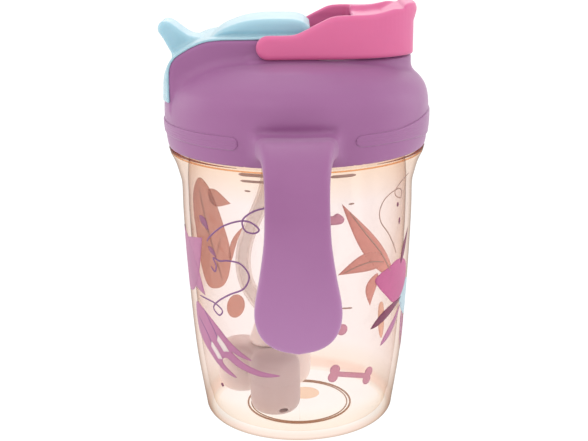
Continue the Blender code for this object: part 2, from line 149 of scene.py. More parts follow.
class Strip(Flat):
    """The distance to a line, and how far along the line the nearest point is."""

    def fill(self, u, v, line):
        u, v = np.broadcast_arrays(u, v)
        best = np.full(u.shape, 1e9)
        self.lengths = np.zeros(u.shape)
        reach = 0.0
        for (ax, ay), (bx, by) in zip(line, line[1:]):
            ex, ey = bx - ax, by - ay
            length = math.hypot(ex, ey)
            t = np.clip(((u - ax) * ex + (v - ay) * ey) / length**2, 0, 1)
            gap = np.hypot(u - ax - ex * t, v - ay - ey * t)
            closer = gap < best
            best[closer] = gap[closer]
            self.lengths[closer] = (reach + t * length)[closer]
            reach += length
        return best

    def along(self, u, v):
        return self.read(self.lengths, u, v)


def turned_field(profile):
    """A field of (radius, height) for a profile from axis to axis, mirrored so that it is smooth there."""
    return Flat(list(profile) + [(-r, z) for r, z in reversed(profile)])


def low_of(a, b, blend):
    """Union with a fillet."""
    return np.minimum(a, b) - np.maximum(blend - np.abs(a - b), 0) ** 2 / (4 * blend)


def high_of(a, b, blend):
    """Intersection with a rounded edge."""
    return -low_of(-a, -b, blend)


def surface(field, low, high, step):
    """Points and four-sided faces where a field is zero: surface nets, then drawn on to the exact surface."""
    axes = [np.arange(low[k], high[k] + step, step) for k in range(3)]
    values = field(axes[0][:, None, None], axes[1][None, :, None], axes[2][None, None, :])
    inside = values < 0
    cells = tuple(n - 1 for n in values.shape)
    total = np.zeros(cells + (3,))
    count = np.zeros(cells)
    edges = []
    for axis in range(3):
        first = [slice(None)] * 3
        second = [slice(None)] * 3
        first[axis], second[axis] = slice(0, -1), slice(1, None)
        first, second = tuple(first), tuple(second)
        at = np.argwhere(inside[first] != inside[second])
        v0, v1 = values[first][tuple(at.T)], values[second][tuple(at.T)]
        place = np.stack([axes[k][at[:, k]] for k in range(3)], 1)
        place[:, axis] += step * v0 / (v0 - v1)
        beside = [k for k in range(3) if k != axis]
        for db in (0, 1):
            for dc in (0, 1):
                cell = at.copy()
                cell[:, beside[0]] -= db
                cell[:, beside[1]] -= dc
                good = (cell >= 0).all(1) & (cell < np.array(cells)).all(1)
                np.add.at(total, tuple(cell[good].T), place[good])
                np.add.at(count, tuple(cell[good].T), 1)
        edges.append((axis, beside, at, inside[first][tuple(at.T)]))
    used = count > 0
    number = np.full(cells, -1)
    number[used] = np.arange(used.sum())
    points = total[used] / count[used][:, None]
    faces = []
    for axis, beside, at, from_inside in edges:
        b, c = beside
        corners = []
        for db, dc in ((1, 1), (0, 1), (0, 0), (1, 0)):
            cell = at.copy()
            cell[:, b] -= db
            cell[:, c] -= dc
            corners.append(number[tuple(np.clip(cell, 0, np.array(cells) - 1).T)])
        quads = np.stack(corners, 1)
        turn = from_inside ^ (axis == 1)
        quads[~turn] = quads[~turn][:, ::-1]
        faces.append(quads)
    faces = np.concatenate(faces)
    nudge = 0.06
    for _ in range(3):
        value = field(*points.T)
        slope = np.stack([
            (field(*(points + offset).T) - field(*(points - offset).T)) / (2 * nudge)
            for offset in np.eye(3) * nudge
        ], 1)
        shift = value[:, None] * slope / np.maximum((slope**2).sum(1), 0.3)[:, None]
        length = np.linalg.norm(shift, axis=1)[:, None]
        points = points - shift * np.minimum(1, step * 0.4 / np.maximum(length, 1e-9))
    return points, faces


# ---- pieces ----


def placed(name, data):
    made = bpy.data.objects.new(name, data)
    bpy.context.scene.collection.objects.link(made)
    return made


def piece(name, points, faces, finish, body, slot, stands_for=(), sharp=40):
    """A riding mesh piece from points in millimetres; sharp is the angle of a crease, or 0 for none."""
    mesh = bpy.data.meshes.new(name)
    places = [tuple(float(c) * MM for c in point) for point in points]
    mesh.from_pydata(places, [], [tuple(int(i) for i in face) for face in faces])
    mesh.validate()
    if sharp:
        work = bmesh.new()
        work.from_mesh(mesh)
        bmesh.ops.recalc_face_normals(work, faces=work.faces)
        work.to_mesh(mesh)
        work.free()
    mesh.shade_smooth()
    if sharp:
        mesh.set_sharp_from_angle(angle=math.radians(sharp))
    made = placed(name, mesh)
    mesh.materials.append(finish)
    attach(made, body)
    if stands_for:
        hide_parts(*stands_for)
    return made


def turned(profile, sides, centre=(0, 0), along="Z"):
    """Points and faces of a closed (radius, height) profile turned about an axis."""
    points, rows = [], []
    for radius, height in profile:
        if radius == 0:
            rows.append([len(points)] * sides)
            points.append(set_along(0, 0, height, centre, along))
            continue
        rows.append(list(range(len(points), len(points) + sides)))
        for step in range(sides):
            turn = 2 * math.pi * step / sides
            points.append(set_along(radius * math.cos(turn), radius * math.sin(turn), height, centre, along))
    if profile[0][0] != 0:
        rows.append(rows[0])
    faces = []
    for lower, upper in zip(rows, rows[1:]):
        for step in range(sides):
            beside = (step + 1) % sides
            faces.append(list(dict.fromkeys([lower[step], lower[beside], upper[beside], upper[step]])))
    return points, faces


def set_along(a, b, height, centre, along):
    """The point at a height along an axis and (a, b) across it."""
    if along == "X":
        return (height, centre[0] + a, centre[1] + b)
    return (centre[0] + a, centre[1] + b, height)


def tube(line, radius, bore, sides):
    """A hollow tube along a line that lies nearly in the XZ plane, open at both ends."""
    points, faces = [], []
    for size, path, way in ((radius, line, 1), (bore, line[::-1], -1)):
        for index, place in enumerate(path):
            before = Vector(path[max(index - 1, 0)])
            after = Vector(path[min(index + 1, len(path) - 1)])
            run = (after - before).normalized()
            up = run.cross(Vector((0, 1, 0))).normalized()
            side = up.cross(run)
            for step in range(sides):
                turn = 2 * math.pi * step / sides
                points.append(Vector(place) + size * (math.cos(turn) * way * up + math.sin(turn) * side))
    rows = len(points) // sides
    for row in range(rows):
        after = (row + 1) % rows
        for step in range(sides):
            beside = (step + 1) % sides
            faces.append((row * sides + step, row * sides + beside, after * sides + beside,
                          after * sides + step))
    return points, faces


def swept(rings):
    """Points and faces of a closed section carried along a path, with flat ends."""
    size = len(rings[0])
    points = [point for ring in rings for point in ring]
    faces = []
    for row in range(0, len(points) - size, size):
        for col in range(size):
            beside = (col + 1) % size
            faces.append((row + col, row + beside, row + size + beside, row + size + col))
    return points, faces + [tuple(range(size)), tuple(range(len(points) - size, len(points)))]


def solid(made, thickness):
    """Gives an open sheet its thickness, half to each side."""
    thick = made.modifiers.new("thickness", "SOLIDIFY")
    thick.thickness = thickness * MM
    thick.offset = 0


# ---- materials ----


def rgb(*levels):
    """Linear colour from display values of 0 to 255."""
    shares = [level / 255 for level in levels]
    return tuple(c / 12.92 if c <= 0.04045 else ((c + 0.055) / 1.055) ** 2.4 for c in shares) + (1,)


def shade(colour, factor):
    return tuple(min(1, c * factor) for c in colour[:3]) + (1,)


class Nodes:
    """A material's node tree with short calls."""

    def __init__(self, name):
        self.material = bpy.data.materials.new(name)
        self.material.use_nodes = True
        self.tree = self.material.node_tree
        self.tree.nodes.clear()
        self.output = self.tree.nodes.new("ShaderNodeOutputMaterial")

    def put(self, socket, value):
        """Links an output to a socket, or sets the socket's own value."""
        if isinstance(value, bpy.types.NodeSocket):
            self.tree.links.new(value, socket)
        else:
            socket.default_value = value

    def add(self, kind, **inputs):
        """A node: a key that starts with in_ fills the socket of that name, any other sets an option."""
        node = self.tree.nodes.new("ShaderNode" + kind)
        for key, value in inputs.items():
            if not key.startswith("in_"):
                setattr(node, key, value)
        for key, value in inputs.items():
            if key.startswith("in_"):
                self.put(node.inputs[key[3:].replace("_", " ")], value)
        return node

    def place(self):
        return self.add("TexCoord").outputs["Object"]

    def noise(self, scale, detail=3.0, rough=0.5):
        return self.add(
            "TexNoise", in_Vector=self.place(), in_Scale=scale, in_Detail=detail, in_Roughness=rough
        ).outputs[0]

    def between(self, value, low, high, from_low=0.3, from_high=0.7):
        """From low to high as the value goes from from_low to from_high."""
        return self.add(
            "MapRange", in_Value=value, in_From_Min=from_low, in_From_Max=from_high, in_To_Min=low,
            in_To_Max=high
        ).outputs[0]

    def math(self, operation, *values):
        node = self.add("Math", operation=operation)
        for socket, value in zip(node.inputs, values):
            self.put(socket, value)
        return node.outputs[0]

    def product(self, first, *others):
        for other in others:
            first = self.math("MULTIPLY", first, other)
        return first

    def mix(self, factor, a, b):
        node = self.add("Mix", data_type="RGBA")
        for index, value in ((0, factor), (6, a), (7, b)):
            self.put(node.inputs[index], value)
        return node.outputs[2]

    def bump(self, height, strength, distance):
        return self.add("Bump", in_Height=height, in_Strength=strength, in_Distance=distance).outputs[0]

    def cover(self, share, colour, shader):
        """The shader over its share of a surface, and a tinted see-through one over the rest."""
        mixed = self.add("MixShader")
        clear = self.add("BsdfTransparent", in_Color=colour)
        for socket, value in zip(mixed.inputs, (share, clear.outputs[0], shader.outputs[0])):
            self.put(socket, value)
        return self.show(mixed)

    def show(self, shader):
        self.put(self.output.inputs[0], shader.outputs[0])
        return self.material


def moulded(name, colour, dull, rough, grain=2600.0, subsurface=0.0, radius=(1, 1, 1), coat=0.0, sheen=0.0,
            painted_light_ramps=()):
    """Moulded plastic or silicone: soft mottling, a fine satin grain, uneven gloss, a trace of wear, and
    painted light and shade graded along an axis.
    """
    n = Nodes(name)
    broad = n.noise(45.0, 4.0)
    fine = n.noise(grain, 2.0, 0.6)
    wear = n.noise(260.0, 6.0, 0.65)
    tone = n.mix(n.between(broad, 0.0, 1.0), colour, dull)
    tone = n.mix(n.between(wear, 0.0, 0.03, 0.45, 0.75), tone, shade(colour, 1.12))
    # Painted light and shade: each ramp grades the tone towards another colour along one object axis.
    for axis, start, end, other in painted_light_ramps:
        along = n.add("SeparateXYZ", in_Vector=n.place()).outputs[axis]
        tone = n.mix(n.between(along, 0.0, 1.0, start, end), tone, other)
    gloss = n.math("ADD", n.between(broad, rough - 0.05, rough + 0.05), n.between(wear, -0.03, 0.04))
    return n.show(n.add(
        "BsdfPrincipled", in_Base_Color=tone, in_Roughness=gloss, in_Normal=n.bump(fine, 0.12, 0.00006),
        in_IOR=1.46, in_Sheen_Weight=sheen, in_Sheen_Roughness=0.35, in_Coat_Weight=coat,
        in_Coat_Roughness=0.25, in_Subsurface_Weight=subsurface, in_Subsurface_Radius=radius,
        in_Subsurface_Scale=0.004,
    ))


def clear_wall(name, tint, edge, neck, foot, heel):
    """Tinted clear plastic as thin walls: light passes tinted, edges gather colour, painted shade darkens the
    outline and the heel's corner, grazing faces mirror.
    """
    n = Nodes(name)
    broad = n.noise(38.0, 3.0)
    fine = n.noise(420.0, 2.0)
    facing = n.add("LayerWeight", in_Blend=0.5).outputs["Facing"]
    height = n.add("SeparateXYZ", in_Vector=n.place()).outputs[2]
    flat = n.add("VectorMath", operation="MULTIPLY", in_Vector=n.place())
    flat.inputs[1].default_value = (1, 1, 0)
    reach = n.add("VectorMath", operation="LENGTH", in_Vector=flat.outputs[0]).outputs["Value"]

    def rising(low, high, start=0.0, end=1.0):
        """From start to end between two heights in millimetres."""
        return n.between(height, start, end, low * MM, high * MM)

    def beyond(low, high):
        """From none to all between two radii in millimetres."""
        return n.between(reach, 0.0, 1.0, low * MM, high * MM)

    tone = n.mix(n.between(broad, 0, 1), tint, shade(tint, 0.995))
    tone = n.mix(rising(79.5, 90.5), tone, neck)
    tone = n.mix(rising(1.0, 16.0, 1.0, 0.0), tone, foot)
    tone = n.mix(n.product(beyond(26.5, 30.5), rising(3.0, 12.0, 1.0, 0.0)), tone, heel)
    skirt = n.product(beyond(30.0, 30.8), rising(2.8, 4.8, 1.0, 0.0))
    tone = n.mix(skirt, tone, (heel[0], heel[1] * 0.88, heel[2] * 0.85, 1))
    # Light bends inside the low wall, so its inner face shows no edge there and the outer face gathers all of
    # it. Two straight lines of (radius at the floor, lean) stand for the wall's outside.
    past = [n.math("SUBTRACT", n.math("SUBTRACT", reach, n.math("MULTIPLY", height, lean)), start * MM)
            for start, lean in ((31.4, 0.145), (33.0, 0.064))]
    outer = n.between(n.math("MAXIMUM", *past), 0.0, 1.0, -1.2 * MM, -0.6 * MM)
    seen = n.math("MAXIMUM", outer, rising(20.0, 45.0, 0.2, 1.0))
    strength = n.math("MAXIMUM", outer, rising(4.0, 22.0, 0.22, 1.0))
    tone = n.mix(n.product(n.math("POWER", facing, 2.6), seen, strength), tone, edge)
    # Painted shade: the outline and the heel's corner turn darker than the gathered edge colour.
    painted_shade = shade(edge, 0.62)
    corner = n.math("MAXIMUM", outer, rising(1.8, 2.3, 1.0, 0.0))
    corner = n.product(corner, beyond(28.5, 29.2), rising(4.0, 11.0, 1.0, 0.0), rising(0.05, 0.4))
    tone = n.mix(n.product(corner, n.between(facing, 0.0, 0.5, 0.3, 0.75)), tone, painted_shade)
    outline = n.between(n.math("POWER", facing, 5.0), 0.0, 0.9, 0.25, 0.78)
    tone = n.mix(n.product(seen, outline), tone, painted_shade)
    gloss = n.add(
        "BsdfGlossy", in_Color=WHITE, in_Roughness=n.between(fine, 0.04, 0.12),
        in_Normal=n.bump(fine, 0.05, 0.00004),
    )
    mirror = n.between(n.math("POWER", facing, 4.0), 0.03, 0.22, 0.0, 1.0)
    return n.cover(n.product(mirror, rising(3.0, 14.0, 0.12, 1.0)), tone, gloss)


def milky_tube(name, colour):
    """Milky silicone tube: thin walls let light through face on and gather into a paler, denser edge."""
    n = Nodes(name)
    broad = n.noise(60.0, 3.0)
    fine = n.noise(1500.0, 2.0, 0.6)
    facing = n.add("LayerWeight", in_Blend=0.5).outputs["Facing"]
    shader = n.add(
        "BsdfPrincipled", in_Base_Color=n.mix(n.between(broad, 0, 1), colour, shade(colour, 0.95)),
        in_Roughness=n.between(broad, 0.35, 0.5), in_Normal=n.bump(fine, 0.1, 0.00004),
    )
    return n.cover(n.between(facing, 0.22, 0.62, 0.2, 0.9), (0.995, 0.978, 0.968, 1), shader)


def ink(name, colour, cover):
    """Screen-printed ink with an uneven film that lets a little light through."""
    n = Nodes(name)
    film = n.noise(520.0, 5.0, 0.7)
    broad = n.noise(110.0, 3.0)
    shader = n.add(
        "BsdfPrincipled", in_Base_Color=n.mix(n.between(broad, 0, 1), colour, shade(colour, 0.9)),
        in_Roughness=n.between(film, 0.36, 0.52), in_Normal=n.bump(film, 0.1, 0.00003),
    )
    see_through = tuple(c**0.35 for c in colour[:3]) + (1,)
    return n.cover(n.between(film, cover - 0.05, cover + 0.04), see_through, shader)


def floor_finish():
    """A pale floor that glows a little, so that it stays even and white under the lamps."""
    n = Nodes("studio_floor")
    broad = n.noise(1.5, 3.0)
    tone = n.mix(n.between(broad, 0, 1), (0.05, 0.05, 0.05, 1), (0.06, 0.06, 0.06, 1))
    return n.show(n.add(
        "BsdfPrincipled", in_Base_Color=tone, in_Roughness=0.85, in_Emission_Color=WHITE,
        in_Emission_Strength=1.04, in_Specular_IOR_Level=0.0,
    ))


# Painted light: the lilac grows paler towards the handles' lower ends, standing for light from the pale floor
# below.
LILAC = moulded("lilac_satin", rgb(156, 99, 147), rgb(151, 94, 142), 0.45, subsurface=0.12,
                radius=(0.8, 0.35, 0.7), sheen=0.22, painted_light_ramps=((2, 84.0 * MM, 44.0 * MM, rgb(170, 117, 164)),))
PINK = moulded("pink_satin", rgb(216, 106, 152), rgb(211, 101, 148), 0.44, subsurface=0.12,
               radius=(1.0, 0.3, 0.4), sheen=0.14)
TEAL = moulded("teal_silicone", rgb(163, 200, 213), rgb(157, 195, 209), 0.40, grain=1800.0, subsurface=0.3,
               radius=(0.6, 0.9, 1.0), coat=0.3, sheen=0.15)
MILK = moulded("milky_silicone", rgb(252, 238, 230), rgb(247, 231, 223), 0.45, grain=1500.0, subsurface=0.3,
               radius=(1, 0.8, 0.7))
# Painted shade: the frosted plastic grows darker towards -Y, the side facing the camera.
FROST = moulded("frosted_plastic", rgb(246, 234, 228), rgb(240, 227, 221), 0.42, grain=900.0, subsurface=0.25,
                radius=(1, 0.8, 0.8), painted_light_ramps=((1, 0.0, -14.0 * MM, rgb(200, 182, 181)),))
STRAW = milky_tube("milky_straw", rgb(250, 234, 224))
STEEL = moulded("brushed_steel", rgb(176, 176, 178), rgb(160, 160, 163), 0.3)
# Painted light: the clear wall's foot tint is paler than its tint, so the base shows brighter towards the
# floor.
CLEAR = clear_wall(
    "peach_clear", (0.986, 0.950, 0.941, 1), (0.80, 0.64, 0.54, 1), neck=(0.985, 0.895, 0.80, 1),
    foot=(0.998, 0.98, 0.953, 1), heel=(0.975, 0.905, 0.835, 1),
)
AMBER = clear_wall(
    "peach_deep", (0.90, 0.74, 0.64, 1), (0.80, 0.58, 0.46, 1), neck=(0.93, 0.70, 0.50, 1),
    foot=(0.62, 0.45, 0.36, 1), heel=(0.62, 0.45, 0.36, 1),
)
GATE = clear_wall(
    "gate_tint", (0.95, 0.80, 0.66, 1), (0.90, 0.70, 0.55, 1), neck=(0.95, 0.80, 0.66, 1),
    foot=(0.97, 0.84, 0.74, 1), heel=(0.95, 0.80, 0.66, 1),
)
# Painted shadow: dark clear-plastic arcs stand for the shadow in the gap under the lid's rim.
PAINTED_RIM_SHADOW = clear_wall(
    "rim_painted_shadow", (0.60, 0.36, 0.30, 1), (0.46, 0.24, 0.18, 1), neck=(0.60, 0.34, 0.26, 1),
    foot=(0.60, 0.36, 0.30, 1), heel=(0.60, 0.36, 0.30, 1),
)
THIN_FILMS = {"clay": 0.42, "grape": 0.62}
INKS = {name: ink("ink_" + name, rgb(*levels), THIN_FILMS.get(name, 0.80)) for name, levels in (
    ("terracotta", (220, 148, 134)), ("orchid", (196, 128, 166)), ("magenta", (206, 104, 154)),
    ("plum", (138, 68, 98)), ("violet", (148, 98, 150)), ("rose", (214, 148, 164)),
    ("cream", (250, 232, 228)), ("sky", (190, 214, 224)), ("umber", (186, 146, 132)),
    ("peach", (236, 178, 152)), ("clay", (244, 168, 142)), ("grape", (176, 116, 150)),
)}


# ---- camera, light and floor ----


CAMERA_PLACE = (0, -367.7 * MM, 168.8 * MM)
CAMERA_TURN, CAMERA_DIP, CAMERA_ROLL = 0.18, 15.7, -0.596
LENS = 70.41
AIM = Vector((0, 0, 70.0 * MM))
LAMPS = [("key", (-0.55, -0.75, 0.95), 0.7, 1.8), ("fill", (0.8, -0.45, 0.6), 0.8, 1.0),
         ("back", (0.05, 0.95, 0.7), 0.8, 2.4), ("top", (0.0, 0.0, 1.2), 0.8, 1.0),
         ("left", (-0.9, 0.25, 0.3), 0.5, 1.1), ("right", (0.9, 0.25, 0.3), 0.5, 1.1)]
FLOOR_HALF = 6.0


def set_stage():
    """The photo's view, a pale world, six soft lamps round the cup and a floor."""
    lens = bpy.data.cameras.new("camera")
    lens.sensor_width = 36.0
    lens.lens = LENS
    lens.clip_start = 0.01
    camera = placed("camera", lens)
    turn = Matrix.Rotation(math.radians(CAMERA_TURN), 4, "Z")
    dip = Matrix.Rotation(math.radians(90 - CAMERA_DIP), 4, "X")
    roll = Matrix.Rotation(math.radians(CAMERA_ROLL), 4, "Z")
    camera.matrix_world = Matrix.Translation(CAMERA_PLACE) @ turn @ dip @ roll
    scene = bpy.context.scene
    scene.camera = camera
    scene.view_settings.view_transform = "Standard"
    scene.world = bpy.data.worlds.new("world")
    scene.world.use_nodes = True
    background = scene.world.node_tree.nodes["Background"]
    background.inputs["Color"].default_value = WHITE
    background.inputs["Strength"].default_value = 0.97
    for name, place, size, power in LAMPS:
        light = bpy.data.lights.new(name, "AREA")
        light.size = size
        light.energy = power
        look = (AIM - Vector(place)).to_track_quat("-Z", "Y").to_matrix().to_4x4()
        placed(name, light).matrix_world = Matrix.Translation(place) @ look
    mesh = bpy.data.meshes.new("floor")
    corners = [(x * FLOOR_HALF, y * FLOOR_HALF, 0) for x, y in ((-1, -1), (1, -1), (1, 1), (-1, 1))]
    mesh.from_pydata(corners, [], [(0, 1, 2, 3)])
    mesh.materials.append(floor_finish())
    placed("floor", mesh)


# ---- the cup ----

WALL = 1.9
CUP_OUTSIDE = [(31.9, 4.0), (33.0, 11.0), (34.3, 20.0), (35.2, 29.0), (36.0, 40.0), (36.9, 55.0),
               (37.5, 70.0), (37.6, 79.5), (38.3, 83.3), (39.5, 87.4), (40.9, 90.4)]
CUP_CURVE = spline(CUP_OUTSIDE, 5)
NECK = 37.2
THREAD_START = 96.4
THREAD_PITCH = 9.0
THREAD_TURN = 300
UNROLLED = 36.5  # the radius at which the wall is laid flat for the prints
PRINT_GRID = 1.1
PRINT_FILM = 0.05


def radius_at(curve, z):
    return float(np.interp(z, [p[1] for p in curve], [p[0] for p in curve]))


def make_cup():
    """The clear tumbler with the groove under its base, and its screw thread."""
    low = [(0, 0.0), (15.9, 0.0), (16.3, 0.25), (16.5, 0.6), (16.8, 0.75), (17.4, 0.75), (17.7, 0.6),
           (17.9, 0.25), (18.3, 0.0)]
    outside = arc((28.6, 3.2), 3.2, -90, -15, 7) + CUP_CURVE + [(40.9, 91.1), (40.6, 91.5), (39.8, 91.6)]
    outside += [(NECK + 0.4, 91.7), (NECK, 92.1), (NECK, 104.4), (NECK - 0.3, 104.9), (NECK - 0.7, CUP_TOP)]
    inside = [(35.3, CUP_TOP), (35.0, 104.8), (34.9, 104.4), (34.9, 92.5), (35.0, 90.0), (35.4, 86.0),
              (35.7, 82.0)]
    inside += [(r - WALL, z) for r, z in reversed(CUP_CURVE) if 9.0 < z < 77.0]
    inside += [(30.2, 7.4)] + arc((27.0, 5.0), 2.6, 0, -90, 7)
    points, faces = turned(low + outside + inside + [(0, 2.4)], 192)
    piece("cup_wall", points, faces, CLEAR, "cup", "peach_clear", ("cup_body",), sharp=50)
    rings, steps = [], 100
    for step in range(steps + 1):
        angle = THREAD_TURN * step / steps
        turn = math.radians(angle)
        taper = min(1.0, step / 6, (steps - step) / 6)
        middle = THREAD_START + THREAD_PITCH * angle / 360
        section = [(NECK - 0.3, -1.0), (NECK + 0.1 + 1.9 * taper, -0.45), (NECK + 0.2 + 2.0 * taper, 0.0),
                   (NECK + 0.1 + 1.9 * taper, 0.45), (NECK - 0.3, 1.0)]
        rings.append([(r * math.cos(turn), r * math.sin(turn), middle + dz) for r, dz in section])
    piece("cup_thread", *swept(rings), CLEAR, "cup", "peach_clear")


def on_wall(phi, z, lift):
    """A point on the cup's outside, phi degrees round from -Y towards +X."""
    radius = radius_at(CUP_CURVE, z) + lift
    turn = math.radians(phi)
    return (radius * math.sin(turn), -radius * math.cos(turn), z)


def unroll(line):
    """Points of (degrees, height) laid flat in millimetres."""
    return [(math.radians(phi) * UNROLLED, z) for phi, z in line]


def rolled(u):
    """Degrees round the wall for a length along it."""
    return math.degrees(u / UNROLLED)


def printed(name, shapes, colour, lift=0.05):
    """Thin prints on the wall: closed outlines of (degrees, height)."""
    points, faces = [], []
    for outline in shapes:
        flat = unroll(outline)
        low, high = np.array(flat).min(0), np.array(flat).max(0)
        u, v = np.meshgrid(*(np.arange(low[k], high[k], PRINT_GRID) for k in (0, 1)), indexing="ij")
        keep = outline_distance(u, v, flat) < -0.35
        spots = [Vector(p) for p in flat + list(zip(u[keep], v[keep]))]
        made = geometry.delaunay_2d_cdt(spots, [], [list(range(len(flat)))], 1, 1e-4)
        start = len(points)
        points += [on_wall(rolled(p[0]), p[1], lift) for p in made[0]]
        faces += [tuple(start + index for index in face) for face in made[2]]
    solid(piece(name, points, faces, INKS[colour], "cup", "peach_clear", sharp=0), PRINT_FILM)


def lines_printed(name, lines, colour, lift=0.07):
    """Thin printed lines: each is smooth through its points of (degrees, height), has a width and tapers."""
    points, faces = [], []
    for line, width in lines:
        path = unroll(spline(line, 8))
        left, right = [], []
        for index, (u, v) in enumerate(path):
            before, after = path[max(index - 1, 0)], path[min(index + 1, len(path) - 1)]
            du, dv = after[0] - before[0], after[1] - before[1]
            size = math.hypot(du, dv) or 1
            half = width / 2 * min(1.0, 0.35 + index / 4, 0.35 + (len(path) - 1 - index) / 4)
            left.append((u - dv / size * half, v + du / size * half))
            right.append((u + dv / size * half, v - du / size * half))
        start, count = len(points), len(path)
        points += [on_wall(rolled(u), v, lift) for u, v in left + right]
        for i in range(start, start + count - 1):
            faces.append((i, i + count, i + count + 1, i + 1))
    solid(piece(name, points, faces, INKS[colour], "cup", "peach_clear", sharp=0), PRINT_FILM)


def closed(points):
    """A smooth closed outline."""
    steps = 6
    return spline(list(points) + list(points[:3]), steps)[steps:steps * (len(points) + 1)]


def dot(phi, z, radius, squeeze=1.0):
    return [(phi + rolled(a) * squeeze, z + b) for a, b in arc((0, 0), radius, 0, 345, 23)]


def blade(start, end, width, bend=0.0):
    """A slim leaf from start to end."""
    (u0, v0), (u1, v1) = unroll((start, end))
    du, dv = u1 - u0, v1 - v0
    size = math.hypot(du, dv)
    ring = []
    for side in (1, -1):
        for step in range(1, 16):
            t = step / 16 if side == 1 else 1 - step / 16
            bulge = side * width / 2 * math.sin(math.pi * t**0.75) + bend * math.sin(math.pi * t)
            ring.append((rolled(u0 + du * t - dv / size * bulge), v0 + dv * t + du / size * bulge))
        ring.append(end if side == 1 else start)
    return ring


def bone(phi, z, lean):
    """A bar with two round knobs at each end, turned by lean in radians."""
    half = 7.0
    ring = arc((half, 1.3), 1.8, 192, -40, 12) + arc((half, -1.3), 1.8, 40, -192, 12)
    ring += [(-u, -v) for u, v in ring]
    c, d = math.cos(lean), math.sin(lean)
    return [(phi + rolled(u * c - v * d), z + u * d + v * c) for u, v in ring]


